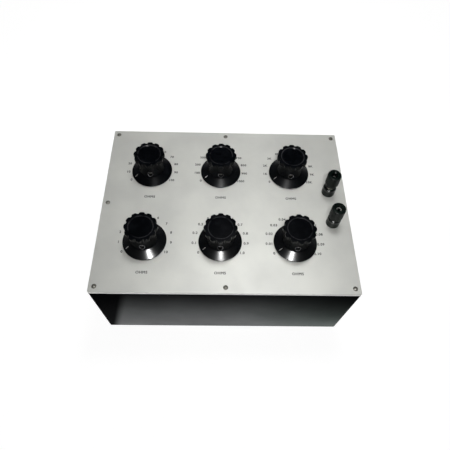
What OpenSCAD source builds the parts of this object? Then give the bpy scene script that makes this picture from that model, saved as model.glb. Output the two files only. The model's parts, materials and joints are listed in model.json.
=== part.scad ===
// Decade resistance box: six stud-switch dials and two binding posts on a metal panel.
// Millimetres, +Z up, origin on the ground at the middle of the case.

/* [Case] */
// Height of the case, without feet and panel
case_h = 117; // [90:1:160]
// Thickness of the case sheet
wall = 1.5; // [1:0.1:3]
// Outer radius of the upright corners of the case and panel
corner_r = 3; // [2:0.5:8]
// Width of lip left between a panel screw and the opening
lip_margin = 4; // [3.5:0.1:8]

/* [Panel] */
// Thickness of the panel
panel_t = 2.5; // [1.5:0.1:5]
// Width of the bevel along the panel's upper edges
panel_bevel = 0.6; // [0.2:0.1:1]
// Distance of the panel screws from the left and right edges
screw_edge_x = 6.8; // [5:0.1:10]
// Distance of the panel screws from the front and back edges
screw_edge_y = 7.4; // [5:0.1:10]
// Shank diameter of the panel screws
panel_screw_d = 3; // [2.5:0.1:4]
// Length of the panel screws under the head
panel_screw_len = 10; // [8:0.5:16]
// Height of the screw heads above the panel
panel_screw_head_h = 1.8; // [1:0.1:2.5]
// Thickness of the nuts under the lip
lip_nut_h = 2.4; // [2:0.1:3]

/* [Feet] */
// Height of the rubber feet
foot_h = 5; // [4:0.5:15]
// Diameter of a foot where it meets the case
foot_d = 18; // [15:0.5:30]
// Distance of the feet from the sides of the case
foot_inset = 26; // [20:1:50]
// Shank diameter of the foot screws
foot_screw_d = 4; // [3:0.1:5]
// Thickness of the nuts on the foot screws
foot_nut_h = 3.2; // [2.5:0.1:4]

/* [Dials] */
// Turn from one dial position to the next, in degrees
dial_step = 25; // [22:0.5:28]
// Gap between the decks of neighbouring columns
column_gap = 8; // [5:0.5:30]
// Gap between the decks of the two rows
row_gap = 22; // [5:0.5:60]
// Distance from the left edge of the case to the nearest deck
side_margin = 17; // [13:0.5:40]
// Distance from the front and back edges of the case to the nearest deck
end_margin = 26; // [14:0.5:50]
// Distance of the middle of the dials in front of the middle of the panel
dial_drop = 2; // [0:0.5:10]

/* [Knobs] */
// Diameter of the skirt
skirt_d = 51; // [46:0.5:64]
// Height of the skirt's upright rim
skirt_rim_h = 1.3; // [1:0.1:2]
// Gap between the skirt and the panel
skirt_gap = 1; // [0.6:0.1:2]
// Diameter of the skirt's cone at its upper end
neck_d = 31.6; // [30:0.2:34]
// Diameter of the waisted neck under the grip
neck_top_d = 25.2; // [24:0.2:27]
// Height of the upper end of the skirt's cone above the panel
neck_z = 8; // [6.8:0.1:9]
// Diameter of the grip over its lobes
grip_d = 37.8; // [35:0.2:44]
// Height of the upper end of the neck above the panel
grip_z = 24; // [22:0.1:25]
// Height of the flare between the neck and the lobes
grip_flare = 6; // [4:0.5:6.5]
// Height of the top of the knob above the panel
knob_h = 34.5; // [33:0.5:40]
// Number of lobes round the grip
lobe_count = 12; // [9:1:14]
// Radius of one lobe
lobe_r = 3.6; // [3:0.1:4.2]
// Depth of the hollows between the lobes
lobe_depth = 2.2; // [1.4:0.1:2.6]
// Radius of the rounded edge at the top of the grip
grip_round = 1.2; // [1:0.1:2.6]
// Diameter of the dished top
dish_d = 27.6; // [20:0.2:28]
// Depth of the dished top
dish_depth = 1.1; // [0.5:0.1:2]
// Height of the grub screw above the panel
grub_z = 12.4; // [11.8:0.1:15]
// Diameter of the grub screw
grub_d = 5; // [3:0.1:5.4]

/* [Switch] */
// Diameter of the dial shafts
shaft_d = 6; // [5:0.1:7]
// Diameter of the threaded bush
bush_d = 10; // [9.5:0.1:12]
// Height of the bush above the panel
bush_up = 4.8; // [4:0.1:5]
// Thickness of the bush nut
bush_nut_h = 2.6; // [2:0.1:3.4]
// Thickness of the switch's front plate
plate_t = 2; // [1.5:0.1:3]
// Length of the bush below its front plate
bush_down = 4; // [2:0.1:5]
// Distance between the front plate and the deck
pillar_len = 18; // [17:0.5:30]
// Diameter of the pillars
pillar_d = 6; // [5:0.1:7]
// Diameter of the threaded ends of the pillars
pillar_stud_d = 3; // [2.5:0.1:3.2]
// Thickness of the nuts on the pillars
pillar_nut_h = 2.4; // [2:0.1:3]
// Thickness of the deck
deck_t = 4; // [3:0.1:6]
// Radius of the circle of contact studs
stud_circle_r = 26; // [25:0.5:36]
// Diameter of a stud's head
stud_head_d = 6; // [5:0.1:6.6]
// Height of a stud's head
stud_head_h = 2; // [1.8:0.1:3]
// Diameter of a stud's shank
stud_d = 3.2; // [2.5:0.1:4]
// Length of a stud's tail below the deck
stud_tail = 6; // [5:0.5:10]
// Width of the wiper's leaf
leaf_w = 7; // [5:0.1:9]
// Thickness of the wiper's leaf
leaf_t = 0.8; // [0.5:0.1:1.2]
// Diameter of the wiper's hub
hub_d = 14; // [12:0.5:16]
// Radius of the circle of stop pins
stop_circle_r = 16; // [15:0.5:18]
// Diameter of the stop pins
stop_pin_d = 3; // [2:0.1:4]
// Width of the wiper's stop finger
finger_w = 4; // [3:0.1:6]

/* [Resistors] */
// Diameter of the resistor bobbins
bobbin_d = 9; // [7:0.1:9.6]
// Length of the resistor bobbins
bobbin_len = 20; // [12:0.5:26]
// Thickness of a bobbin's end flange
bobbin_flange_t = 1.2; // [0.8:0.1:2]
// Depth of a bobbin's winding below the rim of its flanges
winding_depth = 0.6; // [0.3:0.1:1]
// Diameter of the link wires
wire_d = 1.6; // [1:0.1:2.4]

/* [Binding posts] */
// Distance between the two binding posts
post_pitch = 45; // [30:0.5:80]
// Distance of the middle of the pair behind the middle of the panel
post_y = -2; // [-10:0.5:10]
// Gap between a dial's deck and the binding posts' insulators
post_gap = 1; // [1:0.5:20]
// Gap between the binding posts' insulators and the lip of the case
post_lip_gap = 3.9; // [1.5:0.1:20]
// Diameter of the collar on the panel
collar_d = 16.2; // [15:0.1:18]
// Height of the collar
collar_h = 12.4; // [10:0.1:15]
// Radius of the collar's shoulder
collar_round = 2.4; // [1:0.1:3]
// Diameter of the stud
post_stud_d = 6; // [5.6:0.1:7]
// Height of the stud above the panel
post_stud_up = 29.5; // [28:0.5:31]
// Length of the stud below the panel
post_stud_down = 16; // [12:0.5:25]
// Diameter of the plug socket in the stud
socket_d = 4; // [3:0.1:4.4]
// Depth of the plug socket
socket_depth = 10; // [8:0.1:10.5]
// Diameter of the wire hole across the stud
wire_hole_d = 1.6; // [1:0.1:1.6]
// Diameter of the insulators under the panel
insulator_d = 14; // [13:0.1:18]
// Thickness of the insulators
insulator_t = 2; // [1:0.1:3]
// Thickness of the post nuts
post_nut_h = 4; // [3:0.1:5]
// Diameter of the cap
cap_d = 16.4; // [16:0.1:19]
// Height of the cap
cap_h = 19.6; // [17:0.1:22]
// Number of flutes round the cap
flute_count = 24; // [12:1:30]
// Radius of a flute
flute_r = 0.8; // [0.5:0.1:0.9]
// Radius of the rounded edges of the cap
cap_round = 1.6; // [1:0.1:2.2]
// Diameter of the swivel clamp washer
clamp_d = 12; // [11:0.1:13]
// Thickness of the clamp washer
clamp_t = 1.2; // [1:0.1:1.6]
// How far the upper cap stands unscrewed
cap_raise = 3.5; // [0:0.1:5]

/* [Hidden] */
$fn = 64;
DECADES = ["tens", "hundreds", "thousands", "units", "tenths", "hundredths"];
POSTS = ["upper", "lower"];

// Clearances
run_clear = 0.05;
slip_clear = 0.1;
hole_clear = 0.2;
least_r = 0.2;
brush_gap = 0.2;
stop_gap = 0.1;
deck_hub_gap = 0.3;
clamp_gap = 0.1;
over = 1;

// Columns and rows of dials, and the positions on one dial
columns = 3;
rows = 2;
last_position = 10;
top_angle = 90;
zero_angle = top_angle + dial_step * last_position / 2;

// Switch deck, from the stud circle outwards
bobbin_nest = 0.1;
pillar_clear = 1.3;
deck_rim = 0.5;
bobbin_ring_r = stud_circle_r + stud_d / 2 + bobbin_d / 2 - bobbin_nest;
pillar_ring_r = bobbin_ring_r + nut_af(pillar_stud_d) / 2 / cos(30) + pillar_clear;
deck_r = pillar_ring_r + pillar_d / 2 + deck_rim;
pillar_angles = [top_angle, top_angle + 150, top_angle - 150];

// Overall plan of the case
lip_x = screw_edge_x + lip_margin;
lip_y = screw_edge_y + lip_margin;
post_edge = lip_x + post_lip_gap + insulator_d / 2;
column_pitch = 2 * deck_r + column_gap;
row_pitch = 2 * deck_r + row_gap;
first_column = deck_r + side_margin;
last_column = deck_r + post_gap + insulator_d / 2 + post_edge;
case_w = first_column + (columns - 1) * column_pitch + last_column;
case_d = 2 * (deck_r + end_margin) + (rows - 1) * row_pitch;
post_x = case_w / 2 - post_edge;

// Levels
thread_end = 1.6;
shaft_end = 3;
hub_rise = 1;
case_floor = foot_h;
panel_under = foot_h + case_h;
panel_top = panel_under + panel_t;
plate_under = panel_under - plate_t;
deck_top = plate_under - pillar_len;
deck_under = deck_top - deck_t;
leaf_under = deck_top + stud_head_h + brush_gap;
tail_end = deck_under - stud_tail;
bobbin_end = deck_under - bobbin_len;
wire_step = 0.3;
wire_level = min(bobbin_end, tail_end) - 2 * wire_d;
hub_top = leaf_under + 3 * leaf_t + hub_rise;
collar_top = panel_top + collar_h;

// Screw details
panel_screw_head_d = panel_screw_d + 2.6;
slot_w = 0.8;
foot_screw_head_d = foot_screw_d + 3.2;
foot_screw_head_h = 2;
foot_recess = foot_screw_head_h + 0.6;
foot_taper = 1;

// Shaft and bush details
bush_boss_d = bush_d + 4;
thrust_d = shaft_d + 4;
thrust_t = 2;
flat_start = 0.5;

// Knob details
skirt_wall = 1.8;
skirt_base = skirt_gap;
skirt_shoulder = skirt_gap + skirt_rim_h;
skirt_edge_r = 0.5;
skirt_lip = 0.2;
knob_roof = 8;
knob_shaft_top = knob_h - knob_roof;
neck_ledge = 0.3;
neck_foot_h = 0.6;
neck_foot_r = neck_d / 2 - neck_ledge;
neck_top_r = neck_top_d / 2;
neck_rise = grip_z - neck_z - neck_foot_h;
neck_inset = neck_foot_r - neck_top_r;
neck_arc_r = (pow(neck_rise, 2) + pow(neck_inset, 2)) / (2 * neck_inset);
flat_depth = 0.5;
grub_end = shaft_d / 2 - flat_depth;
grub_sunk = 2.4;
grub_len = neck_r_at(grub_z) - grub_end - grub_sunk;
grub_slot = 1;
grub_slot_depth = 1.2;
lobe_ring_r = grip_d / 2 - lobe_r;
grip_core_r = grip_d / 2 - lobe_depth;
grip_undercut = 0.4;

// Wiper details
finger_end = 0.5;
back_leaf = 0.65;

// Binding post details
flange_d = post_stud_d + 4;
flange_t = 1.5;
collar_spigot_d = post_stud_d + 4;
clamp_recess = clamp_t / 2;
cap_waist = 1.1;
cap_foot_h = 3;
cap_mouth = 1.2;
cap_seat = clamp_gap + clamp_t + clamp_gap - clamp_recess;

// Width across the flats of a standard nut
function nut_af(d) = d < 3.5 ? d + 2.5 : d < 5 ? d + 3 : d + 4;
function dial_x(i) = -case_w / 2 + first_column + (i % columns) * column_pitch;
function dial_y(i) = (floor(i / columns) == 0 ? 1 : -1) * row_pitch / 2 - dial_drop;
function dial_place(i) = [dial_x(i), dial_y(i)];
function post_place(k) = [post_x, post_y + (k == 0 ? 1 : -1) * post_pitch / 2];
function stud_angle(k) = zero_angle - dial_step * k;
function polar(r, a) = [r * cos(a), r * sin(a)];
// Radius of the waisted neck at a height above the panel
function neck_r_at(z) = neck_top_r + neck_arc_r - sqrt(pow(neck_arc_r, 2) - pow(grip_z - z, 2));
function stop_angle() = asin((finger_w / 2 + stop_pin_d / 2 + stop_gap) / stop_circle_r);
function panel_screw_places() = [
    for (x = [-1, 0, 1], y = [-1, 0, 1])
        if (x != 0 || y != 0)
            [x * (case_w / 2 - screw_edge_x), y * (case_d / 2 - screw_edge_y)]
];
function foot_places() = [
    for (x = [-1, 1], y = [-1, 1]) [x * (case_w / 2 - foot_inset), y * (case_d / 2 - foot_inset)]
];

// A rectangle with round corners, centred
module rounded_plate(w, d, r) {
    square([w - 2 * r, d], center = true);
    square([w, d - 2 * r], center = true);
    for (x = [-1, 1], y = [-1, 1]) translate([x * (w / 2 - r), y * (d / 2 - r)]) circle(r);
}

// A hexagon nut standing on z = 0
module hex_nut(d, h) {
    difference() {
        cylinder(d = nut_af(d) / cos(30), h = h, $fn = 6);
        translate([0, 0, -over]) cylinder(d = d + 2 * run_clear, h = h + 2 * over);
    }
}

// A screw with a low domed head on z = 0 and its shank below
module domed_screw(d, head_d, head_h, length) {
    dome_r = (head_d * head_d / 4 + head_h * head_h) / (2 * head_h);
    difference() {
        union() {
            intersection() {
                translate([0, 0, head_h - dome_r]) sphere(dome_r);
                cylinder(d = head_d, h = head_h);
            }
            translate([0, 0, -length]) cylinder(d = d, h = length + head_h / 4);
        }
        translate([-head_d, -slot_w / 2, head_h / 2]) cube([2 * head_d, slot_w, head_h]);
    }
}

module at_dial(i) {
    translate(dial_place(i)) children();
}

module at_each_dial() {
    for (i = [0:len(DECADES) - 1]) at_dial(i) children();
}

module at_each_pillar() {
    for (a = pillar_angles) translate(polar(pillar_ring_r, a)) children();
}

module at_each_stop() {
    back_angle = zero_angle + 180;
    for (a = [back_angle + stop_angle(), back_angle - dial_step * last_position - stop_angle()])
        translate(polar(stop_circle_r, a)) children();
}

module case_shell() {
    inner_r = max(corner_r - wall, least_r);
    color("#1d1f20") difference() {
        translate([0, 0, case_floor]) linear_extrude(case_h) rounded_plate(case_w, case_d, corner_r);
        translate([0, 0, case_floor + wall])
            linear_extrude(case_h - 2 * wall) rounded_plate(case_w - 2 * wall, case_d - 2 * wall, inner_r);
        translate([0, 0, case_floor + case_h / 2])
            linear_extrude(case_h) square([case_w - 2 * lip_x, case_d - 2 * lip_y], center = true);
        for (p = panel_screw_places())
            translate([p.x, p.y, panel_under - 2 * wall])
                cylinder(d = panel_screw_d + 2 * hole_clear, h = 3 * wall);
        for (p = foot_places())
            translate([p.x, p.y, case_floor - over])
                cylinder(d = foot_screw_d + 2 * hole_clear, h = wall + 2 * over);
    }
}

module panel() {
    bevel_w = panel_bevel * sqrt(2);
    cut = panel_t + 2 * over;
    color("#bfc1bc") translate([0, 0, panel_under]) difference() {
        linear_extrude(panel_t) rounded_plate(case_w, case_d, corner_r);
        for (s = [-1, 1]) {
            translate([0, s * case_d / 2, panel_t]) rotate([45, 0, 0])
                cube([2 * case_w, bevel_w, bevel_w], center = true);
            translate([s * case_w / 2, 0, panel_t]) rotate([0, 45, 0])
                cube([bevel_w, 2 * case_d, bevel_w], center = true);
        }
        translate([0, 0, -over]) {
            for (p = panel_screw_places())
                translate([p.x, p.y, 0]) cylinder(d = panel_screw_d + 2 * hole_clear, h = cut);
            at_each_dial() cylinder(d = bush_d + 2 * slip_clear, h = cut);
            for (k = [0, 1]) translate(post_place(k)) cylinder(d = collar_spigot_d + 2 * slip_clear, h = cut);
        }
    }
}

module panel_screws() {
    color("#8d8f88") for (p = panel_screw_places()) translate([p.x, p.y, panel_top])
        domed_screw(panel_screw_d, panel_screw_head_d, panel_screw_head_h, panel_screw_len);
}

module lip_nuts() {
    color("#9a9c98") for (p = panel_screw_places()) translate([p.x, p.y, panel_under - wall - lip_nut_h])
        hex_nut(panel_screw_d, lip_nut_h);
}

module rubber_feet() {
    color("#101010") for (p = foot_places()) translate([p.x, p.y, 0]) difference() {
        cylinder(d1 = foot_d - 2 * foot_taper, d2 = foot_d, h = foot_h);
        translate([0, 0, -over]) cylinder(d = foot_screw_d + 2 * hole_clear, h = foot_h + 2 * over);
        translate([0, 0, -over]) cylinder(d = foot_screw_head_d + 2 * hole_clear, h = foot_recess + over);
    }
}

module foot_screws() {
    shank = foot_h - foot_recess + wall + foot_nut_h + thread_end;
    color("#8d8f88") for (p = foot_places()) translate([p.x, p.y, foot_recess]) mirror([0, 0, 1])
        domed_screw(foot_screw_d, foot_screw_head_d, foot_screw_head_h, shank);
}

module foot_nuts() {
    color("#9a9c98") for (p = foot_places()) translate([p.x, p.y, case_floor + wall])
        hex_nut(foot_screw_d, foot_nut_h);
}

// Front plate of each switch with its threaded bush
module bush_plates() {
    color("#c9b06a") at_each_dial() difference() {
        union() {
            translate([0, 0, plate_under]) cylinder(r = deck_r, h = plate_t);
            translate([0, 0, panel_under]) cylinder(d = bush_d, h = panel_t + bush_up);
            translate([0, 0, plate_under - bush_down]) cylinder(d = bush_boss_d, h = bush_down);
        }
        translate([0, 0, plate_under - bush_down - over])
            cylinder(d = shaft_d + 2 * run_clear, h = bush_down + plate_t + panel_t + bush_up + 2 * over);
        translate([0, 0, plate_under - over])
            at_each_pillar() cylinder(d = pillar_stud_d + 2 * run_clear, h = plate_t + 2 * over);
    }
}

module bush_nuts() {
    color("#c9b06a") at_each_dial() translate([0, 0, panel_top])
        hex_nut(bush_d, bush_nut_h);
}

module deck_pillars() {
    tail = deck_t + pillar_nut_h + thread_end;
    color("#c9b06a") at_each_dial() at_each_pillar() {
        translate([0, 0, deck_top]) cylinder(d = pillar_d, h = pillar_len);
        translate([0, 0, deck_top - tail]) cylinder(d = pillar_stud_d, h = tail + pillar_len + plate_t);
    }
}

module pillar_nuts() {
    color("#c9b06a") at_each_dial() at_each_pillar() translate([0, 0, deck_under - pillar_nut_h])
        hex_nut(pillar_stud_d, pillar_nut_h);
}

module stud_decks() {
    cut = deck_t + 2 * over;
    color("#6b4a2a") at_each_dial() translate([0, 0, deck_under]) difference() {
        cylinder(r = deck_r, h = deck_t);
        translate([0, 0, -over]) {
            cylinder(d = shaft_d + 2 * hole_clear, h = cut);
            for (k = [0:last_position])
                translate(polar(stud_circle_r, stud_angle(k))) cylinder(d = stud_d + 2 * run_clear, h = cut);
            at_each_pillar() cylinder(d = pillar_stud_d + 2 * run_clear, h = cut);
            at_each_stop() cylinder(d = stop_pin_d + 2 * run_clear, h = cut);
        }
    }
}

module stop_pins() {
    color("#c9b06a") at_each_dial() at_each_stop()
        translate([0, 0, deck_under]) cylinder(d = stop_pin_d, h = deck_t + stud_head_h - deck_hub_gap);
}

// Two upright leads and the thinner bus wire between them
module bus_wire(a, b) {
    run = b - a;
    low = wire_level - wire_d / 2;
    for (p = [a, b]) translate([p.x, p.y, low]) cylinder(d = wire_d, h = p.z - low);
    translate([a.x, a.y, wire_level]) rotate([0, 90, atan2(run.y, run.x)])
        cylinder(d = wire_d - wire_step, h = norm([run.x, run.y]));
}

// The chain runs from the upper post through the thousands to the hundredths and back to the lower post
module link_wires() {
    chain = [2, 1, 0, 3, 4, 5];
    pillar_end = deck_under - pillar_nut_h - thread_end;
    post_end = panel_under - post_stud_down;
    starts = concat(
        [[post_place(0).x, post_place(0).y, post_end]],
        [for (i = chain) concat(dial_place(i) + polar(stud_circle_r, stud_angle(0)), [tail_end])]
    );
    ends = concat(
        [for (i = chain) concat(dial_place(i) + polar(pillar_ring_r, pillar_angles[0]), [pillar_end])],
        [[post_place(1).x, post_place(1).y, post_end]]
    );
    color("#b5763a") for (k = [0:len(starts) - 1]) bus_wire(starts[k], ends[k]);
}

// Section of the knob without its grip: rim, conical skirt, waisted neck and hollow underside
module knob_section() {
    skirt_r = skirt_d / 2;
    neck_r = neck_d / 2;
    cavity_top = neck_z - skirt_wall;
    difference() {
        union() {
            polygon([
                [0, skirt_base], [skirt_r - skirt_edge_r, skirt_base], [skirt_r, skirt_base + skirt_edge_r],
                [skirt_r, skirt_shoulder - skirt_edge_r], [skirt_r - skirt_edge_r, skirt_shoulder],
                [neck_r, neck_z], [0, neck_z]
            ]);
            translate([skirt_r - skirt_edge_r, skirt_base + skirt_edge_r]) circle(skirt_edge_r);
            translate([skirt_r - skirt_edge_r, skirt_shoulder - skirt_edge_r]) circle(skirt_edge_r);
            difference() {
                translate([0, skirt_shoulder]) square([neck_foot_r, grip_z + over - skirt_shoulder]);
                translate([neck_top_r + neck_arc_r, grip_z]) circle(neck_arc_r);
            }
        }
        polygon([
            [-over, skirt_base - over], [skirt_r - skirt_wall, skirt_base - over],
            [skirt_r - skirt_wall, skirt_base + skirt_lip], [neck_r - skirt_wall / 2, cavity_top],
            [-over, cavity_top]
        ]);
    }
}

// Section that trims the lobed grip: flared foot and rounded top edge
module grip_section() {
    grip_r = grip_d / 2;
    polygon([
        [0, grip_z], [neck_top_r - grip_undercut, grip_z], [grip_r, grip_z + grip_flare],
        [grip_r, knob_h - grip_round], [grip_r - grip_round, knob_h], [0, knob_h]
    ]);
    translate([grip_r - grip_round, knob_h - grip_round]) circle(grip_round);
}

module lobed_outline() {
    circle(grip_core_r);
    for (k = [0:lobe_count - 1])
        translate(polar(lobe_ring_r, top_angle + 360 * k / lobe_count)) circle(lobe_r);
}

module knob(i) {
    color("#0b0b0d") at_dial(i) translate([0, 0, panel_top]) difference() {
        union() {
            rotate_extrude() knob_section();
            intersection() {
                translate([0, 0, grip_z]) linear_extrude(knob_h) lobed_outline();
                rotate_extrude() grip_section();
            }
        }
        translate([0, 0, knob_h - dish_depth])
            cylinder(d1 = dish_d - 2 * dish_depth, d2 = dish_d + 2 * over, h = dish_depth + over);
        cylinder(d = shaft_d + 2 * run_clear, h = knob_shaft_top + over);
        translate([0, 0, grub_z]) rotate([90, 0, 0]) cylinder(d = grub_d + 2 * run_clear, h = skirt_d);
    }
}

module grub_screw(i) {
    slot_low = grub_len - grub_slot_depth;
    color("#77736a") at_dial(i) translate([0, -grub_end, panel_top + grub_z]) rotate([90, 0, 0])
        difference() {
            cylinder(d = grub_d, h = grub_len);
            translate([-grub_d, -grub_slot / 2, slot_low])
                cube([2 * grub_d, grub_slot, grub_slot_depth + over]);
        }
}

// Shaft with a thrust collar under the bush and a flat for the grub screw
module shaft(i) {
    low = deck_under - shaft_end;
    color("#b9b9b4") at_dial(i) difference() {
        union() {
            translate([0, 0, low]) cylinder(d = shaft_d, h = panel_top + knob_shaft_top - low);
            translate([0, 0, plate_under - bush_down - slip_clear - thrust_t])
                cylinder(d = thrust_d, h = thrust_t);
        }
        translate([-shaft_d, -shaft_d / 2 - shaft_d, panel_top + bush_up + flat_start])
            cube([2 * shaft_d, shaft_d + flat_depth, knob_h]);
    }
}

// Hub with its stop finger and a two-leaf arm that bears on the contact studs
module wiper(i) {
    low = deck_top + deck_hub_gap;
    finger_t = stud_head_h - 2 * deck_hub_gap;
    finger_reach = stop_circle_r + stop_pin_d / 2 + finger_end;
    reach = stud_circle_r + stud_head_d / 2;
    color("#c98d4a") at_dial(i) rotate([0, 0, zero_angle]) difference() {
        union() {
            translate([0, 0, low]) cylinder(d = hub_d, h = hub_top - low);
            translate([-finger_reach, -finger_w / 2, low]) cube([finger_reach, finger_w, finger_t]);
            translate([0, -leaf_w / 2, leaf_under]) cube([reach - leaf_w / 2, leaf_w, leaf_t]);
            translate([reach - leaf_w / 2, 0, leaf_under]) cylinder(d = leaf_w, h = leaf_t);
            translate([0, -leaf_w / 2, leaf_under]) cube([stud_circle_r * back_leaf, leaf_w, 2 * leaf_t]);
        }
        translate([0, 0, low - over]) cylinder(d = shaft_d + 2 * run_clear, h = hub_top - low + 2 * over);
    }
}

module contact_studs(i) {
    color("#d0b060") at_dial(i) for (k = [0:last_position]) translate(polar(stud_circle_r, stud_angle(k))) {
        translate([0, 0, deck_top]) cylinder(d = stud_head_d, h = stud_head_h);
        translate([0, 0, tail_end]) cylinder(d = stud_d, h = deck_top - tail_end + stud_head_h / 2);
    }
}

// Wound bobbins hanging under the deck, one between each pair of studs
module resistors(i) {
    flange_r = bobbin_d / 2;
    wound_r = flange_r - winding_depth;
    color("#3f6b45") at_dial(i) for (k = [0:last_position - 1])
        translate(polar(bobbin_ring_r, stud_angle(k + 0.5))) {
            translate([0, 0, deck_under - bobbin_flange_t]) cylinder(r = flange_r, h = bobbin_flange_t);
            translate([0, 0, bobbin_end]) cylinder(r = flange_r, h = bobbin_flange_t);
            translate([0, 0, bobbin_end]) cylinder(r = wound_r, h = bobbin_len);
        }
}

// Collar on the panel: rounded shoulder, seat for the stud's flange, spigot through the panel
module terminal_collars() {
    collar_r = collar_d / 2;
    color("#141615") for (k = [0, 1]) translate(concat(post_place(k), [panel_top])) difference() {
        union() {
            rotate_extrude() {
                square([collar_r, collar_h - collar_round]);
                square([collar_r - collar_round, collar_h]);
                translate([collar_r - collar_round, collar_h - collar_round]) intersection() {
                    circle(collar_round);
                    square(collar_round);
                }
            }
            translate([0, 0, -panel_t]) cylinder(d = collar_spigot_d, h = panel_t + over);
        }
        translate([0, 0, -panel_t - over])
            cylinder(d = post_stud_d + 2 * run_clear, h = collar_h + panel_t + 2 * over);
        translate([0, 0, collar_h - flange_t]) cylinder(d = flange_d + 2 * slip_clear, h = flange_t + over);
    }
}

module terminal_studs() {
    low = -panel_t - post_stud_down;
    color("#c8c4b0") for (k = [0, 1]) translate(concat(post_place(k), [panel_top])) difference() {
        union() {
            translate([0, 0, low]) cylinder(d = post_stud_d, h = post_stud_up - low);
            translate([0, 0, collar_h - flange_t]) cylinder(d = flange_d, h = flange_t);
        }
        translate([0, 0, post_stud_up - socket_depth]) cylinder(d = socket_d, h = socket_depth + over);
        translate([-post_stud_d, 0, collar_h + wire_hole_d / 2 + hole_clear])
            rotate([0, 90, 0]) cylinder(d = wire_hole_d, h = 2 * post_stud_d);
    }
}

module terminal_insulators() {
    low = panel_under - insulator_t;
    color("#6b4a2a") for (k = [0, 1]) translate(concat(post_place(k), [low])) difference() {
        cylinder(d = insulator_d, h = insulator_t);
        translate([0, 0, -over]) cylinder(d = post_stud_d + 2 * run_clear, h = insulator_t + 2 * over);
    }
}

module terminal_nuts() {
    low = panel_under - insulator_t - post_nut_h;
    color("#c8c4b0") for (k = [0, 1])
        translate(concat(post_place(k), [low])) hex_nut(post_stud_d, post_nut_h);
}

module clamp_washer(k) {
    raise = k == 0 ? cap_raise : 0;
    color("#c8c4b0") translate(concat(post_place(k), [collar_top + clamp_gap + raise])) difference() {
        cylinder(d = clamp_d, h = clamp_t);
        translate([0, 0, -over]) cylinder(d = post_stud_d + 2 * run_clear, h = clamp_t + 2 * over);
    }
}

// Section of the cap: plain foot, head with a rounded edge, bore with a wide mouth, seat for the washer
module cap_section() {
    cap_r = cap_d / 2;
    foot_r = cap_r - cap_waist;
    bore_r = post_stud_d / 2 + run_clear;
    difference() {
        union() {
            square([foot_r, cap_foot_h + over]);
            translate([0, cap_foot_h]) square([cap_r, cap_h - cap_foot_h - cap_round]);
            translate([0, cap_foot_h]) square([cap_r - cap_round, cap_h - cap_foot_h]);
            translate([cap_r - cap_round, cap_h - cap_round]) circle(cap_round);
        }
        polygon([
            [-over, -over], [clamp_d / 2 + slip_clear, -over], [clamp_d / 2 + slip_clear, clamp_recess],
            [bore_r, clamp_recess], [bore_r, cap_h - cap_mouth], [bore_r + cap_mouth + over, cap_h + over],
            [-over, cap_h + over]
        ]);
    }
}

module terminal_cap(k) {
    raise = k == 0 ? cap_raise : 0;
    color("#141615") translate(concat(post_place(k), [collar_top + cap_seat + raise])) difference() {
        rotate_extrude() cap_section();
        for (j = [0:flute_count - 1])
            translate(concat(polar(cap_d / 2 + flute_r / 3, 360 * j / flute_count), [-over]))
                cylinder(r = flute_r, h = cap_h + 2 * over);
    }
}

case_shell();
panel();
panel_screws();
lip_nuts();
rubber_feet();
foot_screws();
foot_nuts();
bush_plates();
bush_nuts();
deck_pillars();
pillar_nuts();
stud_decks();
stop_pins();
link_wires();
for (i = [0:len(DECADES) - 1]) {
    knob(i);
    grub_screw(i);
    shaft(i);
    wiper(i);
    contact_studs(i);
    resistors(i);
}
terminal_collars();
terminal_studs();
terminal_insulators();
terminal_nuts();
for (k = [0:len(POSTS) - 1]) {
    clamp_washer(k);
    terminal_cap(k);
}
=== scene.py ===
"""Dresses the decade resistance box: finishes, dial figures, index lines, studio and camera."""

from __future__ import annotations

import json
import logging
import math
from dataclasses import dataclass, field
from enum import Enum
from typing import Dict, List, Protocol, Sequence, Tuple, Union

import bmesh
import bpy
from mathutils import Matrix, Vector


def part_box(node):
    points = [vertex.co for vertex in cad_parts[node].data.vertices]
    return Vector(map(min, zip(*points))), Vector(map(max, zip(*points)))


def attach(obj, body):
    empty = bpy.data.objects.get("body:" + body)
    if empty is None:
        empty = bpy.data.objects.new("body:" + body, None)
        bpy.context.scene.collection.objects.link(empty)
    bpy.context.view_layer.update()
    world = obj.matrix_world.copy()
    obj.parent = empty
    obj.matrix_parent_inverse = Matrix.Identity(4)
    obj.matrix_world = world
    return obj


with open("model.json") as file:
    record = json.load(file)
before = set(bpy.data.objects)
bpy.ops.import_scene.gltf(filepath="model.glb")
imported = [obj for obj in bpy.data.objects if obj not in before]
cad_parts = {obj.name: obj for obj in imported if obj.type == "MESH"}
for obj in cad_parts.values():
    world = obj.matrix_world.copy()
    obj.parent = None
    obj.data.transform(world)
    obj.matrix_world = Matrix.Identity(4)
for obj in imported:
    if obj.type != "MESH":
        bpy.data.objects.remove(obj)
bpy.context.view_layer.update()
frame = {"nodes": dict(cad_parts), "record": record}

logging.basicConfig(level=logging.INFO, format="%(message)s")
LOG = logging.getLogger("resistance_box")

MM = 0.001
Number = Union[int, float]
Colour = Tuple[float, float, float]
Triple = Tuple[float, float, float]
Span = Tuple[float, float]

# Step, unit and decimals of each decade's figures, the back row first, from left to right
SCALES: Dict[str, Tuple[float, str, int]] = {
    "tens": (10, "", 0),
    "hundreds": (100, "", 0),
    "thousands": (1, "K", 0),
    "units": (1, "", 0),
    "tenths": (0.1, "", 1),
    "hundredths": (0.01, "", 2),
}
DECADES = tuple(SCALES)
DIALS_IN_ROW = 3
POSTS = ("upper", "lower")


class Operation(Enum):
    """What a Math node works out."""

    SUM = "ADD"
    DIFFERENCE = "SUBTRACT"
    PRODUCT = "MULTIPLY"
    SIZE = "ABSOLUTE"
    ROOT = "SQRT"
    LARGER = "MAXIMUM"
    SMALLER = "MINIMUM"


class Ray(Enum):
    """Kinds of ray that see the studio in their own way."""

    CAMERA = "Is Camera Ray"
    GLOSSY = "Is Glossy Ray"
    TRANSMISSION = "Is Transmission Ray"


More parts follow.
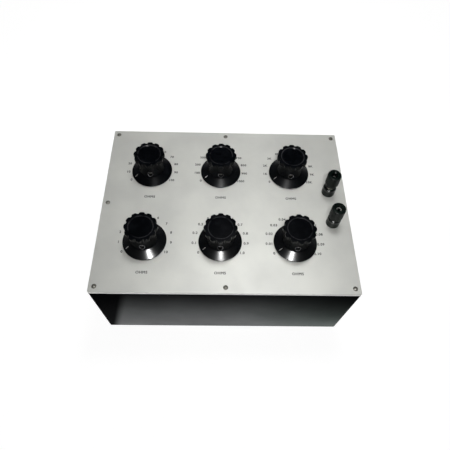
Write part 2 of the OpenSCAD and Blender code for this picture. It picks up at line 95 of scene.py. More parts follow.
class Wire:
    """A value that changes over a surface. Python's operators on it add Math nodes."""

    def __init__(self, tree: "ShaderTree", socket: bpy.types.NodeSocket) -> None:
        """Wraps one output socket.

        Args:
            tree: the node tree that the socket belongs to.
            socket: the output that carries the value.
        """
        self.tree = tree
        self.socket = socket

    def _math(self, operation: Operation, left: "Operand", right: "Operand") -> "Wire":
        """Adds one Math node.

        Args:
            operation: what it works out.
            left: its first value.
            right: its second value.

        Returns:
            The node's result.
        """
        made = self.tree.node("ShaderNodeMath", {"operation": operation.value}, {0: left, 1: right})
        return Wire(self.tree, made.outputs[0])

    def __add__(self, other: "Operand") -> "Wire":
        """Sum."""
        return self._math(Operation.SUM, self, other)

    def __radd__(self, other: "Operand") -> "Wire":
        """Sum, reflected."""
        return self._math(Operation.SUM, other, self)

    def __sub__(self, other: "Operand") -> "Wire":
        """Difference."""
        return self._math(Operation.DIFFERENCE, self, other)

    def __rsub__(self, other: "Operand") -> "Wire":
        """Difference, reflected."""
        return self._math(Operation.DIFFERENCE, other, self)

    def __mul__(self, other: "Operand") -> "Wire":
        """Product."""
        return self._math(Operation.PRODUCT, self, other)

    def __rmul__(self, other: "Operand") -> "Wire":
        """Product, reflected."""
        return self._math(Operation.PRODUCT, other, self)

    def __abs__(self) -> "Wire":
        """Absolute value."""
        return self._math(Operation.SIZE, self, 0.0)

    def root(self) -> "Wire":
        """Square root."""
        return self._math(Operation.ROOT, self, 0.0)

    def larger(self, other: "Operand") -> "Wire":
        """The larger of two values."""
        return self._math(Operation.LARGER, self, other)

    def smaller(self, other: "Operand") -> "Wire":
        """The smaller of two values."""
        return self._math(Operation.SMALLER, self, other)

    def fade(self, start: Number, end: Number) -> "Wire":
        """A soft mask.

        Args:
            start: where the mask is 0.
            end: where the mask is 1.

        Returns:
            The mask, from 0 to 1.
        """
        low, high, ends = (start, end, (0.0, 1.0)) if start < end else (end, start, (1.0, 0.0))
        made = self.tree.node(
            "ShaderNodeMapRange",
            {"interpolation_type": "SMOOTHSTEP"},
            {"Value": self, "From Min": low, "From Max": high, "To Min": ends[0], "To Max": ends[1]},
        )
        return Wire(self.tree, made.outputs["Result"])


Operand = Union[Wire, Number]


class ShaderTree:
    """Node tree of a material or a world, built one node at a time."""

    def __init__(self, nodes: bpy.types.Nodes, links: bpy.types.NodeLinks) -> None:
        """Starts from an empty tree.

        Args:
            nodes: the tree's nodes.
            links: the tree's links.
        """
        self.nodes = nodes
        self.links = links
        self.nodes.clear()

    def node(self, kind: str, settings: Dict[str, object], inputs: Dict[object, object]) -> bpy.types.Node:
        """Adds a node.

        Args:
            kind: the node's type.
            settings: what is set on the node itself, first of all.
            inputs: the values or links of its sockets, by name or by number.

        Returns:
            The node.
        """
        made = self.nodes.new(kind)
        for key, value in settings.items():
            setattr(made, key, value)
        for key, value in inputs.items():
            self.feed(made, key, value)
        return made

    def feed(self, made: bpy.types.Node, key: object, value: object) -> None:
        """Sets or links one input of a node.

        Args:
            made: the node.
            key: the input's name or number.
            value: a number, a colour, a socket or a Wire.
        """
        if isinstance(key, int):
            socket = made.inputs[key]
        else:
            socket = next(s for s in made.inputs if s.name == key and s.enabled)
        if isinstance(value, Wire):
            self.links.new(value.socket, socket)
        elif isinstance(value, bpy.types.NodeSocket):
            self.links.new(value, socket)
        elif isinstance(value, tuple) and socket.type == "RGBA" and len(value) == 3:
            socket.default_value = (*value, 1.0)
        else:
            socket.default_value = value

    def place(self) -> bpy.types.NodeSocket:
        """The place on the piece, in metres, in the object's own frame."""
        return self.node("ShaderNodeTexCoord", {}, {}).outputs["Object"]

    def axes(self) -> Tuple[Wire, Wire, Wire]:
        """The X, Y and Z of the place on the piece, in metres."""
        split = self.node("ShaderNodeSeparateXYZ", {}, {0: self.place()})
        return tuple(Wire(self, output) for output in split.outputs)

    def mix(self, factor: Operand, low: object, high: object) -> bpy.types.NodeSocket:
        """Mixes two colours.

        Args:
            factor: the share of the second colour.
            low: the first colour.
            high: the second colour.

        Returns:
            The mixed colour.
        """
        settings = {"data_type": "RGBA", "blend_type": "MIX", "clamp_factor": True}
        made = self.node("ShaderNodeMix", settings, {"Factor": factor, "A": low, "B": high})
        return next(s for s in made.outputs if s.enabled)

    def bump(self, height: Wire, depth: float, strength: float) -> bpy.types.NodeSocket:
        """Turns a height into a normal.

        Args:
            height: the height, from 0 to 1.
            depth: how deep 1 is, in metres.
            strength: the share of it that shows.

        Returns:
            The normal.
        """
        inputs = {"Height": height, "Distance": depth, "Strength": strength}
        return self.node("ShaderNodeBump", {}, inputs).outputs[0]

    def surface(self, **inputs: object) -> None:
        """Ends the tree in a Principled shader.

        Args:
            inputs: the shader's sockets, with _ for a space.
        """
        named = {key.replace("_", " "): value for key, value in inputs.items()}
        shader = self.node("ShaderNodeBsdfPrincipled", {}, named)
        self.node("ShaderNodeOutputMaterial", {}, {"Surface": shader.outputs[0]})


@dataclass(frozen=True)
class Patches:
    """A cloudy pattern, how much rougher it makes a surface, and its relief.

    The detail is the number of its finer layers, and its mask rises between the two levels.
    """

    size: float
    detail: float
    levels: Span = (0.0, 1.0)
    stretch: Triple = (1.0, 1.0, 1.0)
    rough: float = 0.0
    depth: float = 0.0
    relief: float = 0.0
    layer_strength: float = 0.55

    def noise(self, tree: ShaderTree) -> Wire:
        """Adds the pattern to a tree.

        Args:
            tree: the tree to add to.

        Returns:
            The pattern, from 0 to 1.
        """
        place = tree.node("ShaderNodeMapping", {}, {"Vector": tree.place(), "Scale": self.stretch})
        inputs = {
            "Vector": place.outputs[0],
            "Scale": 1.0 / self.size,
            "Detail": self.detail,
            "Roughness": self.layer_strength,
        }
        return Wire(tree, tree.node("ShaderNodeTexNoise", {}, inputs).outputs[0])

    def mask(self, tree: ShaderTree) -> Wire:
        """The pattern as a soft mask."""
        return self.noise(tree).fade(*self.levels)

    def normal(self, noise: Wire) -> bpy.types.NodeSocket:
        """The normal of a surface with the pattern's relief."""
        return noise.tree.bump(noise, self.depth, self.relief)


class Finish(Protocol):
    """What every finish can do."""

    def material(self) -> bpy.types.Material:
        """Builds the finish."""
        ...


def new_material(name: str) -> Tuple[bpy.types.Material, ShaderTree]:
    """Makes a material with an empty tree.

    Args:
        name: the material's name.

    Returns:
        The material and its tree.
    """
    material = bpy.data.materials.new(name)
    material.use_nodes = True
    return material, ShaderTree(material.node_tree.nodes, material.node_tree.links)


@dataclass(frozen=True)
class SatinPanel:
    """Etched, clear anodised aluminium sheet, a little cloudy, with bright worn rims and a painted
    highlight along its outer sides.
    """

    base: Colour = (0.617, 0.622, 0.584)
    dull: Colour = (0.545, 0.55, 0.522)
    worn: Colour = (0.86, 0.86, 0.84)
    rim: Span = (0.9 * MM, 0.2 * MM)
    rim_wear: float = 0.6
    rim_polish: float = 0.12
    # Width of the painted highlight along the sheet's outer sides
    edge_light_width: Span = (0.3 * MM, 0.1 * MM)
    metallic: float = 0.35
    roughness: float = 0.42
    clouds: Patches = Patches(60 * MM, 4.0, (0.3, 0.7))
    smudges: Patches = Patches(22 * MM, 5.0, (0.52, 0.72), rough=0.05)
    rubs: Patches = Patches(7 * MM, 3.0, (0.30, 0.62))
    grain: Patches = Patches(
        0.35 * MM, 2.0, stretch=(0.12, 1.0, 1.0), rough=0.08, depth=0.02 * MM, relief=0.35
    )

    def material(self) -> bpy.types.Material:
        """Builds the finish.

        Returns:
            The material.
        """
        material, tree = new_material("panel_metal")
        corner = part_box("panel")[1]
        x, y, _ = tree.axes()
        inside = (corner.x - abs(x)).smaller(corner.y - abs(y))
        rim = inside.fade(*self.rim) * self.rubs.mask(tree)
        # Painted highlight: the sheet's outer sides take the worn colour, standing in for light that falls
        # on them.
        painted_edge_light = inside.fade(*self.edge_light_width)
        grain = self.grain.noise(tree)
        rough = grain * self.grain.rough + self.smudges.mask(tree) * self.smudges.rough
        colour = tree.mix(self.clouds.mask(tree), self.dull, self.base)
        # The worn colour marks real wear on the rims and the painted highlight on the outer sides.
        colour = tree.mix((rim * self.rim_wear).larger(painted_edge_light), colour, self.worn)
        tree.surface(
            Base_Color=colour,
            Metallic=self.metallic,
            Roughness=self.roughness + rough - rim * self.rim_polish,
            Normal=self.grain.normal(grain),
        )
        return material


@dataclass(frozen=True)
class StovedPaint:
    """Satin black stoved paint on sheet steel, with a painted reflection of the floor that grows towards
    its foot, and rubbed at its corners.
    """

    base: Colour = (0.002, 0.002, 0.0025)
    # Colours of the painted reflection of the floor, greener at the right
    reflection_colour: Colour = (0.100, 0.112, 0.114)
    reflection_colour_right: Colour = (0.076, 0.126, 0.104)
    worn: Colour = (0.16, 0.16, 0.155)
    painted_reflection: float = 0.90
    reflection_depth: Span = (-0.15, 1.15)
    reflection_cover: float = 0.75
    reflection_clouds: float = 0.5
    sheen: float = 0.42
    sheen_clouds: float = 0.45
    least_reflection: float = 0.05
    # Where painted shade holds the reflection back at the front's left and right
    shade_left_width: float = 37 * MM
    shade_left_slant: float = 30 * MM
    shade_left_border: Span = (-4 * MM, 9 * MM)
    right_from: float = 10 * MM
    shade_right_share: float = 0.85
    front_depth: Span = (1 * MM, 3 * MM)
    corner: Span = (1.6 * MM, 0.4 * MM)
    corner_wear: float = 0.55
    roughness: float = 0.55
    coat_roughness: float = 0.3
    patches: Patches = Patches(45 * MM, 5.0, rough=0.1)
    rubs: Patches = Patches(5 * MM, 4.0, (0.52, 0.66))
    peel: Patches = Patches(0.9 * MM, 2.0, depth=0.03 * MM, relief=0.5)

    def _painted_reflection(self, x: Wire, y: Wire, z: Wire) -> Wire:
        """Where the floor's reflection is painted: faint at the top, and held back by painted shade at the
        front's left and right.

        Args:
            x: the place across the front.
            y: the place from front to back.
            z: the place's height.

        Returns:
            The painted reflection, from 0 to 1.
        """
        low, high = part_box("case_shell")
        depth = (high.z - z) * (1.0 / (high.z - low.z))
        # Painted shade: the reflection stays faint at the front's left, and at its right except near the
        # foot.
        border = [low.x + self.shade_left_width + reach for reach in self.shade_left_border]
        left = (x + depth * self.shade_left_slant).fade(*border)
        right = 1.0 - x.fade(self.right_from, high.x) * (1.0 - depth * depth) * self.shade_right_share
        behind_front = y.fade(*(low.y + reach for reach in self.front_depth))
        unshaded = (left * right).larger(self.least_reflection).larger(behind_front)
        return depth.fade(*self.reflection_depth) * unshaded * self.painted_reflection

    def material(self) -> bpy.types.Material:
        """Builds the finish.

        Returns:
            The material.
        """
        material, tree = new_material("black_case")
        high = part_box("case_shell")[1]
        x, y, z = tree.axes()
        painted_reflection = self._painted_reflection(x, y, z)
        patches = self.patches.noise(tree)
        off_corner = (high.x - abs(x)).larger(high.y - abs(y))
        rubbed = off_corner.fade(*self.corner) * self.rubs.mask(tree)
        # Painted reflection of the floor, greener at the right, mixed into the base colour; the same mask
        # thickens the coat.
        reflection_colour = tree.mix(x.fade(0.0, high.x), self.reflection_colour, self.reflection_colour_right)
        colour = tree.mix(painted_reflection * (self.reflection_cover + patches * self.reflection_clouds), self.base, reflection_colour)
        colour = tree.mix(rubbed * self.corner_wear, colour, self.worn)
        tree.surface(
            Base_Color=colour,
            Roughness=self.roughness + patches * self.patches.rough,
            Specular_IOR_Level=0.0,
            Coat_Weight=painted_reflection * (self.sheen + patches * self.sheen_clouds),
            Coat_Roughness=self.coat_roughness,
            Normal=self.peel.normal(self.peel.noise(tree)),
        )
        return material


@dataclass(frozen=True)
class MouldedPlastic:
    """Black thermosetting moulding with a polished band, hair scratches, painted highlights round the
    dished top and the screw hole, and a few dusty specks.

    Heights are above the panel's face. The rim's radius is from the dial's axis, the hole's from its own.
    """

    name: str
    base: Colour = (0.0010, 0.0014, 0.0020)
    bloom: Colour = (0.003, 0.0036, 0.0046)
    roughness: float = 0.14
    shine: float = 0.042
    polish: float = 0.72
    polish_from: float = -1.0 * MM
    polish_top: float = 8.2 * MM
    polish_border: float = 1 * MM
    polish_roughness: float = 0.245
    polish_ior: float = 1.65
    # Colour of the painted highlight round the dished top
    rim: Colour = (0.022, 0.022, 0.024)
    rim_r: float = 13.8 * MM
    rim_border: Span = (0.9 * MM, 0.27 * MM)
    rim_height: Span = (30 * MM, 31 * MM)
    rim_levels: Span = (0.32, 0.60)
    # Colour of the painted glint round the screw hole
    hole_glint_colour: Colour = (0.13, 0.13, 0.135)
    hole_r: float = 3.05 * MM
    hole_rise: float = 12.4 * MM
    hole_border: Span = (0.55 * MM, 0.22 * MM)
    hole_front: Span = (-2 * MM, -4 * MM)
    hole_levels: Span = (0.30, 0.60)
    back_worn: float = 0.28
    left_worn: float = 0.50
    left_border: Span = (-40 * MM, -60 * MM)
    clouds: Patches = Patches(9 * MM, 4.0, (0.40, 0.75), rough=0.07)
    hairs: Patches = Patches(
        0.5 * MM, 2.0, stretch=(1.0, 0.15, 1.0), rough=0.05, depth=0.006 * MM, relief=0.25
    )
    specks: Patches = Patches(0.8 * MM, 1.0, (0.70, 0.78), rough=0.12)
    speck_dull: float = 0.2

    @staticmethod
    def _off_axis(x: Wire, y: Wire) -> Tuple[Wire, Wire, Wire]:
        """Where a place is from the nearest dial's axis, and in which row.

        Args:
            x: the place along the panel.
            y: the place across the panel.

        Returns:
            The distances along and across the panel, the second one below 0 in front of the axis,
            and 1 in the back row.
        """
        axes = [(low + high) / 2 for low, high in (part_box(f"shaft_{decade}") for decade in DECADES)]
        dx = abs(x - axes[0].x)
        for axis in axes[1:DIALS_IN_ROW]:
            dx = dx.smaller(abs(x - axis.x))
        back, front = axes[0].y, axes[-1].y
        between = (back + front) / 2
        row = y.fade(between - 1 * MM, between + 1 * MM)
        return dx, y - front - row * (back - front), row

    def material(self) -> bpy.types.Material:
        """Builds the finish.

        Returns:
            The material.
        """
        material, tree = new_material(self.name)
        clouds = self.clouds.noise(tree)
        hairs = self.hairs.noise(tree)
        specks = self.specks.mask(tree)
        x, y, z = tree.axes()
        dx, dy, back = self._off_axis(x, y)
        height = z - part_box("panel")[1].z
        rise = height - self.hole_rise
        polished = height.fade(self.polish_top, self.polish_top - self.polish_border)
        polished = polished * height.fade(self.polish_from - self.polish_border, self.polish_from)
        worn = back * (self.back_worn + x.fade(*self.left_border) * self.left_worn)
        off_rim = abs((dx * dx + dy * dy).root() - self.rim_r)
        # Painted highlight: a broken light ring round the dished top, standing in for light caught by its
        # rim.
        rim = off_rim.fade(*self.rim_border) * height.fade(*self.rim_height)
        off_hole = abs((dx * dx + rise * rise).root() - self.hole_r)
        # Painted glint: a light ring round the screw hole, on its front side only.
        hole_glint = off_hole.fade(*self.hole_border) * dy.fade(*self.hole_front)
        rough = clouds * self.clouds.rough + hairs * self.hairs.rough + specks * self.specks.rough
        colour = tree.mix(clouds.fade(*self.clouds.levels), self.base, self.bloom)
        # The rim colour is a painted highlight, the hole colour a painted glint.
        colour = tree.mix(rim * clouds.fade(*self.rim_levels), colour, self.rim)
        colour = tree.mix(hole_glint * clouds.fade(*self.hole_levels), colour, self.hole_glint_colour)
        tree.surface(
            Base_Color=colour,
            Roughness=self.roughness + rough,
            Specular_IOR_Level=self.shine,
            Coat_Weight=polished * (self.polish - specks * self.speck_dull) * (1.0 - worn),
            Coat_Roughness=self.polish_roughness,
            Coat_IOR=self.polish_ior,
            Normal=self.hairs.normal(hairs),
        )
        return material


@dataclass(frozen=True)
class MachinedMetal:
    """Turned or drawn metal with fine tool lines and a cloudy tarnish."""

    name: str
    base: Colour
    tarnish: Colour
    roughness: float
    clouds: Patches = Patches(4 * MM, 5.0, (0.42, 0.72), rough=0.16)
    lines: Patches = Patches(
        0.25 * MM, 2.0, stretch=(0.3, 0.3, 2.0), rough=0.06, depth=0.01 * MM, relief=0.3
    )

    def _colour(self, tree: ShaderTree, clouds: Wire) -> bpy.types.NodeSocket:
        """The metal's colour, tarnished in clouds."""
        return tree.mix(clouds.fade(*self.clouds.levels), self.base, self.tarnish)

    def material(self) -> bpy.types.Material:
        """Builds the finish.

        Returns:
            The material.
        """
        material, tree = new_material(self.name)
        clouds = self.clouds.noise(tree)
        lines = self.lines.noise(tree)
        tree.surface(
            Base_Color=self._colour(tree, clouds),
            Metallic=1.0,
            Roughness=self.roughness + clouds * self.clouds.rough + lines * self.lines.rough,
            Normal=self.lines.normal(lines),
        )
        return material


@dataclass(frozen=True)
class PlatedSocket(MachinedMetal):
    """Nickel plate, bright outside, with painted shade inside the plug sockets."""

    # Colour of the painted shade inside the sockets
    socket_shade_colour: Colour = (0.018, 0.018, 0.017)
    bore_r: float = 2.05 * MM
    bore_border: float = 0.2 * MM

    def _colour(self, tree: ShaderTree, clouds: Wire) -> bpy.types.NodeSocket:
        """The plate's colour, with painted shade inside the sockets.

        Args:
            tree: the tree to add to.
            clouds: where the plate is tarnished.

        Returns:
            The colour.
        """
        upper, lower = (sum(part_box(f"clamp_washer_{post}"), Vector()) / 2 for post in POSTS)
        middle = (upper + lower) / 2
        x, y, _ = tree.axes()
        dx = x - middle.x
        dy = abs(y - middle.y) - (upper.y - middle.y)
        off_axis = (dx * dx + dy * dy).root()
        # Painted shade: near-black within the socket's radius, where the hole lies in shade.
        socket_shade = off_axis.fade(self.bore_r + self.bore_border, self.bore_r)
        return tree.mix(socket_shade, super()._colour(tree, clouds), self.socket_shade_colour)


@dataclass(frozen=True)
class MouldedRubber:
    """Matt black rubber, greyed where it rubs."""

    base: Colour = (0.015, 0.015, 0.016)
    greyed: Colour = (0.055, 0.054, 0.052)
    roughness: float = 0.70
    patches: Patches = Patches(5 * MM, 5.0, (0.45, 0.8), rough=0.15)
    pores: Patches = Patches(0.6 * MM, 2.0, depth=0.05 * MM, relief=0.5)

    def material(self) -> bpy.types.Material:
        """Builds the finish.

        Returns:
            The material.
        """
        material, tree = new_material("rubber")
        patches = self.patches.noise(tree)
        tree.surface(
            Base_Color=tree.mix(patches.fade(*self.patches.levels), self.base, self.greyed),
            Roughness=self.roughness + patches * self.patches.rough,
            Normal=self.pores.normal(self.pores.noise(tree)),
        )
        return material


@dataclass(frozen=True)
class PaperLaminate:
    """Brown paper laminate with long fibres and a dull varnish."""

    base: Colour = (0.18, 0.085, 0.035)
    fibre: Colour = (0.27, 0.15, 0.07)
    roughness: float = 0.38
    fibres: Patches = Patches(
        1.6 * MM, 4.0, (0.42, 0.66), (0.2, 1.0, 1.0), rough=0.18, depth=0.02 * MM, relief=0.4
    )
    clouds: Patches = Patches(18 * MM, 3.0)

    def material(self) -> bpy.types.Material:
        """Builds the finish.

        Returns:
            The material.
        """
        material, tree = new_material("laminate_board")
        fibres = self.fibres.noise(tree)
        shown = fibres.fade(*self.fibres.levels) * self.clouds.noise(tree)
        tree.surface(
            Base_Color=tree.mix(shown, self.base, self.fibre),
            Roughness=self.roughness + fibres * self.fibres.rough,
            Normal=self.fibres.normal(fibres),
        )
        return material


@dataclass(frozen=True)
class WoundWire:
    """Close turns of fine enamelled wire on a bobbin, under a thin coat of shellac."""

    wire: Colour = (0.30, 0.13, 0.05)
    gap: Colour = (0.08, 0.035, 0.018)
    pitch: float = 0.45 * MM
    wobble: float = 0.2
    turn_levels: Span = (0.15, 0.6)
    turn_depth: float = 0.08 * MM
    turn_relief: float = 0.6
    metallic: float = 0.4
    roughness: float = 0.32
    clouds: Patches = Patches(6 * MM, 4.0, rough=0.2)

    def material(self) -> bpy.types.Material:
        """Builds the finish.

        Returns:
            The material.
        """
        material, tree = new_material("wound_resistor")
        inputs = {"Vector": tree.place(), "Scale": 1.0 / (self.pitch * math.pi), "Distortion": self.wobble}
        bands = tree.node("ShaderNodeTexWave", {"bands_direction": "Z"}, inputs)
        turns = Wire(tree, bands.outputs[1])
        tree.surface(
            Base_Color=tree.mix(turns.fade(*self.turn_levels), self.gap, self.wire),
            Metallic=self.metallic,
            Roughness=self.roughness + self.clouds.noise(tree) * self.clouds.rough,
            Normal=tree.bump(turns, self.turn_depth, self.turn_relief),
        )
        return material


@dataclass(frozen=True)
class ScreenInk:
    """Screen-printed or filled paint, a little thin in places."""

    name: str
    solid: Colour
    thin: Colour
    roughness: float
    mottle: Patches = Patches(
        1.2 * MM, 4.0, (0.55, 0.8), rough=0.15, depth=0.01 * MM, relief=0.3
    )

    def material(self) -> bpy.types.Material:
        """Builds the finish.

        Returns:
            The material.
        """
        material, tree = new_material(self.name)
        mottle = self.mottle.noise(tree)
        tree.surface(
            Base_Color=tree.mix(mottle.fade(*self.mottle.levels), self.solid, self.thin),
            Roughness=self.roughness + mottle * self.mottle.rough,
            Normal=self.mottle.normal(mottle),
        )
        return material


# The finishes of the record's slots, and the two inks
FINISHES: Dict[str, Finish] = {
    "panel_metal": SatinPanel(),
    "black_case": StovedPaint(),
    "zinc_steel": MachinedMetal("zinc_steel", (0.23, 0.225, 0.20), (0.11, 0.11, 0.095), 0.42),
    "rubber": MouldedRubber(),
    "brass": MachinedMetal("brass", (0.74, 0.52, 0.22), (0.45, 0.30, 0.13), 0.26),
    "laminate_board": PaperLaminate(),
    "copper_wire": MachinedMetal("copper_wire", (0.78, 0.40, 0.24), (0.42, 0.20, 0.12), 0.30),
    "wound_resistor": WoundWire(),
    "knob_black": MouldedPlastic("knob_black"),
    "shaft_steel": MachinedMetal("shaft_steel", (0.56, 0.56, 0.55), (0.36, 0.35, 0.34), 0.24),
    "terminal_black": MouldedPlastic(
        "terminal_black",
        base=(0.0015, 0.0035, 0.0028),
        bloom=(0.005, 0.009, 0.0075),
        roughness=0.18,
        shine=0.095,
        polish=0.8,
        polish_from=10.0 * MM,
        polish_top=13.2 * MM,
        polish_roughness=0.2,
        back_worn=0.0,
    ),
    "plated_brass": PlatedSocket("plated_brass", (0.78, 0.77, 0.74), (0.55, 0.54, 0.50), 0.18),
    "figure_ink": ScreenInk("figure_ink", (0.012, 0.012, 0.013), (0.05, 0.05, 0.05), 0.55),
    "index_paint": ScreenInk("index_paint", (0.80, 0.80, 0.78), (0.62, 0.62, 0.60), 0.5),
}


def dress(piece: bpy.types.Object, material: bpy.types.Material) -> None:
    """Gives a piece one material all over.

    Args:
        piece: the piece or CAD node.
        material: its finish.
    """
    piece.data.materials.clear()
    piece.data.materials.append(material)


def piece_from(name: str, mesh: bmesh.types.BMesh, material: bpy.types.Material) -> bpy.types.Object:
    """Makes a flat-shaded object of a finished mesh.

    Args:
        name: the piece's name.
        mesh: its mesh, in the row frame; it is freed.
        material: its finish.

    Returns:
        The object, at the origin.
    """
    data = bpy.data.meshes.new(name)
    for face in mesh.faces:
        face.smooth = False
    mesh.to_mesh(data)
    mesh.free()
    made = bpy.data.objects.new(name, data)
    bpy.context.scene.collection.objects.link(made)
    dress(made, material)
    return made


@dataclass(frozen=True)
class Lettering:
    """Upright printed lettering: its size, how much each stroke is thickened, and the ink's thickness."""

    size: float = 4.5 * MM
    weight: float = 0.14 * MM
    thickness: float = 0.03 * MM
    spacing: float = 1.12
    curve_steps: int = 3

    def mesh(self, text: str) -> bpy.types.Mesh:
        """Makes a word, centred on the origin.

        Args:
            text: what it says.

        Returns:
            The mesh of its letters.
        """
        curve = bpy.data.curves.new("lettering", "FONT")
        curve.body = text
        curve.size = self.size
        curve.align_x = "CENTER"
        curve.align_y = "CENTER"
        curve.space_character = self.spacing
        curve.extrude = self.thickness / 2
        curve.bevel_depth = self.weight
        curve.bevel_resolution = 0
        curve.resolution_u = self.curve_steps
        holder = bpy.data.objects.new("lettering", curve)
        bpy.context.scene.collection.objects.link(holder)
        evaluated = holder.evaluated_get(bpy.context.evaluated_depsgraph_get())
        mesh = bpy.data.meshes.new_from_object(evaluated)
        bpy.data.objects.remove(holder)
        bpy.data.curves.remove(curve)
        # The bevel that thickens the strokes also thickens the ink, which is pressed flat again
        pressed = self.thickness / (self.thickness + 2 * self.weight)
        mesh.transform(Matrix.Scale(pressed, 4, (0, 0, 1)))
        return mesh


@dataclass
class Dial:
    """One decade: the index line on its knob, and its ring of figures on the panel."""

    decade: str
    step: float
    unit: str
    decimals: int
    finishes: Dict[str, bpy.types.Material]
    positions: int = 11
    zero_angle: float = math.radians(215)
    step_angle: float = math.radians(25)
    figure_ring: float = 30.9 * MM
    figure_rise: float = 3.8 * MM
    lettering: Lettering = Lettering()
    legend: str = "OHMS"
    legend_drop: float = 39.5 * MM
    skirt_r: float = 25.5 * MM
    rim_top: float = 2.3 * MM
    neck_r: float = 15.8 * MM
    neck_z: float = 8.0 * MM
    index_angle: float = math.radians(211)
    index_from: float = 19.5 * MM
    index_to: float = 23.3 * MM
    index_width: float = 0.44 * MM
    index_round: float = 0.4
    index_steps: int = 3
    index_rise: float = 0.06 * MM
    centre: Vector = field(init=False)

    def __post_init__(self) -> None:
        """Finds the dial's axis on the panel's face."""
        low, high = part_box(f"shaft_{self.decade}")
        self.centre = Vector(((low.x + high.x) / 2, (low.y + high.y) / 2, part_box("panel")[1].z))

    @property
    def body(self) -> str:
        """Name of the body that turns."""
        return f"dial_{self.decade}"

    def figures(self) -> List[str]:
        """The figures of the ring, from the first to the last position."""
        values = [self.step * k for k in range(self.positions)]
        return ["0" if v == 0 else f"{v:.{self.decimals}f}{self.unit}" for v in values]

    def build_figures(self) -> bpy.types.Object:
        """Prints the figures and the legend on the panel.

        Returns:
            The print, one piece.
        """
        mesh = bmesh.new()
        for k, text in enumerate(self.figures()):
            angle = self.zero_angle - k * self.step_angle
            around = Vector((math.cos(angle), math.sin(angle), 0)) * self.figure_ring
            self._print(mesh, text, around + Vector((0, self.figure_rise, 0)))
        self._print(mesh, self.legend, Vector((0, -self.legend_drop, 0)))
        made = piece_from(f"figures_{self.decade}", mesh, self.finishes["figure_ink"])
        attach(made, "case")
        return made

    def _print(self, mesh: bmesh.types.BMesh, text: str, offset: Vector) -> None:
        """Adds one word to the print.

        Args:
            mesh: the print's mesh.
            text: the word.
            offset: its middle, from the dial's axis.
        """
        letters = self.lettering.mesh(text)
        lift = Vector((0, 0, self.lettering.thickness / 2))
        letters.transform(Matrix.Translation(self.centre + offset + lift))
        mesh.from_mesh(letters)
        bpy.data.meshes.remove(letters)

    def build_index(self) -> bpy.types.Object:
        """Lays the white index line down the skirt, towards the zero.

        Returns:
            The line.
        """
        slope = math.atan2(self.neck_z - self.rim_top, self.skirt_r - self.neck_r)
        middle = (self.index_from + self.index_to) / 2
        length = (self.index_to - self.index_from) / math.cos(slope)
        height = self.rim_top + (self.skirt_r - middle) * math.tan(slope)
        mesh = bmesh.new()
        bmesh.ops.create_cube(mesh, size=1.0)
        bmesh.ops.scale(mesh, verts=mesh.verts, vec=(length, self.index_width, 2 * self.index_rise))
        upright = [e for e in mesh.edges if abs(e.verts[0].co.z - e.verts[1].co.z) > self.index_rise]
        bmesh.ops.bevel(
            mesh,
            geom=upright,
            offset=self.index_width * self.index_round,
            affect="EDGES",
            segments=self.index_steps,
            profile=0.5,
            material=-1,
        )
        around = Matrix.Rotation(self.index_angle, 4, "Z")
        out = Matrix.Translation(self.centre + around @ Vector((middle, 0, height)))
        bmesh.ops.transform(mesh, matrix=out @ around @ Matrix.Rotation(slope, 4, "Y"), verts=mesh.verts)
        made = piece_from(f"index_line_{self.decade}", mesh, self.finishes["index_paint"])
        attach(made, self.body)
        return made

    def build(self) -> List[bpy.types.Object]:
        """Makes the dial's own pieces."""
        return [self.build_figures(), self.build_index()]


@dataclass
class Dressing:
    """The finishes, by the record's slots, and the CAD nodes that wear them."""

    finishes: Dict[str, bpy.types.Material] = field(default_factory=dict)

    def build(self) -> None:
        """Builds every finish once."""
        self.finishes = {name: finish.material() for name, finish in FINISHES.items()}

    def dress_nodes(self) -> None:
        """Gives each CAD node the finish of its slot."""
        for row in frame["record"]["subparts"]:
            dress(frame["nodes"][row["node"]], self.finishes[row["material_slot"]])
            LOG.info("node %s: %s", row["node"], row["material_slot"])


@dataclass(frozen=True)
class Lamp:
    """One soft rectangular lamp, which may light surfaces only, or show only where it is mirrored."""

    name: str
    eye: Triple
    aim: Triple
    size: Span
    power: float
    spread: float = math.radians(180)
    diffuse: bool = True
    mirrored: bool = True

    def build(self) -> None:
        """Hangs the lamp."""
        data = bpy.data.lights.new(self.name, "AREA")
        data.shape = "RECTANGLE"
        data.size, data.size_y = self.size
        data.energy = self.power
        data.spread = self.spread
        lamp = bpy.data.objects.new(self.name, data)
        bpy.context.scene.collection.objects.link(lamp)
        lamp.visible_diffuse = self.diffuse
        lamp.visible_glossy = self.mirrored
        lamp.location = self.eye
        away = Vector(self.eye) - Vector(self.aim)
        lamp.rotation_euler = away.to_track_quat("Z", "Y").to_euler()


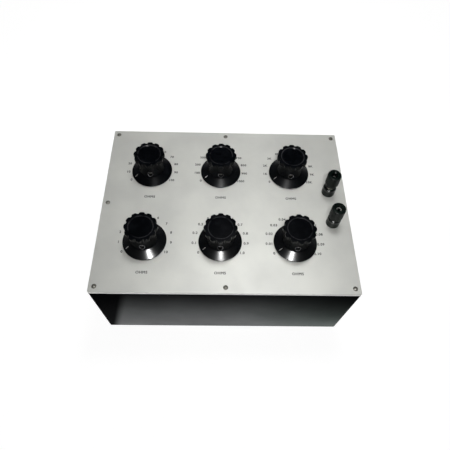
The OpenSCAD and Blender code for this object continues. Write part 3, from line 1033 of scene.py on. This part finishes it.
@dataclass
class Studio:
    """White floor, soft light and the camera."""

    floor_half: float = 4.0
    floor_colour: Colour = (0.82, 0.82, 0.82)
    floor_glow: float = 1.2
    floor_share: float = 0.75
    white: Colour = (1.0, 1.0, 1.0)
    ambient: float = 0.36
    overhead: float = 0.03
    horizon: float = 0.42
    horizon_height: Span = (0.20, 0.0)
    camera_eye: Triple = (-0.01221, -0.27985, 0.55549)
    camera_aim: Triple = (-0.00072, -0.0298, 0.1245)
    camera_roll: float = math.radians(3.063)
    camera_near: float = 0.01
    lens: float = 33.252
    sensor: float = 36.0
    lamps: Sequence[Lamp] = (
        Lamp("flash", (0.018, -0.30, 0.50), (0.01, -0.02, 0.1245), (0.06, 0.04), 2.3, diffuse=False),
        Lamp(
            "fill",
            (0.03, -0.40, 0.86),
            (0.012, 0.115, 0.1245),
            (0.10, 0.08),
            0.325,
            spread=math.radians(46),
            mirrored=False,
        ),
        Lamp("softbox", (0.10, 0.20, 1.03), (-0.005, -0.12, 0.1245), (0.20, 0.20), 2.6),
    )

    @staticmethod
    def _seen(tree: ShaderTree, *rays: Ray) -> Wire:
        """A mask of the rays that see the background.

        Args:
            tree: the tree to add to.
            rays: the kinds of ray.

        Returns:
            1 for those rays, 0 for the rest.
        """
        path = tree.node("ShaderNodeLightPath", {}, {})
        mask, *others = (Wire(tree, path.outputs[ray.value]) for ray in rays)
        for other in others:
            mask = mask.larger(other)
        return mask

    def build_floor(self) -> None:
        """Lays a white floor that keeps the object's shadow."""
        mesh = bmesh.new()
        bmesh.ops.create_grid(mesh, x_segments=1, y_segments=1, size=self.floor_half)
        material, tree = new_material("studio_floor")
        diffuse = tree.node("ShaderNodeBsdfDiffuse", {}, {"Color": self.floor_colour})
        glow = tree.node("ShaderNodeEmission", {}, {"Strength": self.floor_glow})
        share = self._seen(tree, Ray.CAMERA, Ray.GLOSSY, Ray.TRANSMISSION) * self.floor_share
        both = tree.node("ShaderNodeMixShader", {}, {0: share, 1: diffuse.outputs[0], 2: glow.outputs[0]})
        tree.node("ShaderNodeOutputMaterial", {}, {"Surface": both.outputs[0]})
        floor = piece_from("studio_floor", mesh, material)

    def build_world(self) -> None:
        """Surrounds the scene with white that is darker overhead where it is mirrored."""
        world = bpy.data.worlds.new("studio_world")
        world.use_nodes = True
        bpy.context.scene.world = world
        tree = ShaderTree(world.node_tree.nodes, world.node_tree.links)
        way = tree.node("ShaderNodeTexCoord", {}, {}).outputs["Generated"]
        height = Wire(tree, tree.node("ShaderNodeSeparateXYZ", {}, {0: way}).outputs["Z"])
        mirrored = height.fade(*self.horizon_height) * self.horizon + self.overhead
        camera = self._seen(tree, Ray.CAMERA, Ray.TRANSMISSION)
        glossy = self._seen(tree, Ray.GLOSSY)
        plain = 1.0 - camera.larger(glossy)
        strength = camera + glossy * mirrored + plain * self.ambient
        sky = tree.node("ShaderNodeBackground", {}, {"Color": self.white, "Strength": strength})
        tree.node("ShaderNodeOutputWorld", {}, {"Surface": sky.outputs[0]})

    def build_camera(self) -> None:
        """Sets the camera at the photograph's angle."""
        data = bpy.data.cameras.new("camera")
        data.sensor_fit = "HORIZONTAL"
        data.sensor_width = self.sensor
        data.lens = self.lens
        data.clip_start = self.camera_near
        camera = bpy.data.objects.new("camera", data)
        bpy.context.scene.collection.objects.link(camera)
        ahead = (Vector(self.camera_aim) - Vector(self.camera_eye)).normalized()
        level = ahead.cross(Vector((0, 0, 1))).normalized()
        upright = level.cross(ahead)
        right = level * math.cos(self.camera_roll) + upright * math.sin(self.camera_roll)
        up = right.cross(ahead)
        turn = Matrix((right, up, -ahead)).transposed().to_4x4()
        camera.matrix_world = Matrix.Translation(self.camera_eye) @ turn
        bpy.context.scene.camera = camera

    def build(self) -> None:
        """Sets up floor, light, camera and the view transform."""
        self.build_floor()
        self.build_world()
        for lamp in self.lamps:
            lamp.build()
        self.build_camera()
        bpy.context.scene.view_settings.view_transform = "Standard"


def main() -> None:
    """Builds the sub-assemblies in order, logging each CAD node's finish."""
    Studio().build()
    dressing = Dressing()
    dressing.build()
    dressing.dress_nodes()
    for decade, scale in SCALES.items():
        for piece in Dial(decade, *scale, dressing.finishes).build():
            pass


if __name__ == "__main__":
    main()
